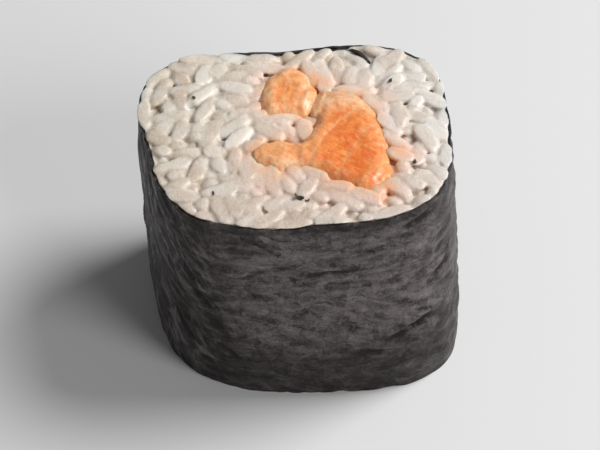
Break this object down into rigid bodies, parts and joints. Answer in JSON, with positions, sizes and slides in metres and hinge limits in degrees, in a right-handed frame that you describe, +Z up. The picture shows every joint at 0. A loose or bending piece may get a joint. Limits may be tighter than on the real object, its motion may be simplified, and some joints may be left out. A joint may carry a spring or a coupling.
{
  "type": "salmon hosomaki",
  "caption": "Thin sushi roll piece: nori wrapped round pressed rice with salmon strips, standing on its cut end.",
  "frame": {"origin": "middle of the foot, where the lower cut rests", "axes": "+Z up along the roll, +X to the piece's right across its longer side, -Y its front"},
  "size_m": [0.0301, 0.0254, 0.0227],
  "materials": {
    "nori": "dark toasted seaweed, moist, with a soft sheen and fine creases",
    "rice": "warm white cooked rice, slightly translucent and moist",
    "salmon": "raw orange salmon, translucent and wet, with pale fat lines"
  },
  "bodies": {
    "root": {"nori": "nori", "rice": "rice", "salmon_main": "salmon", "salmon_side": "salmon"}
  },
  "joints": []
}
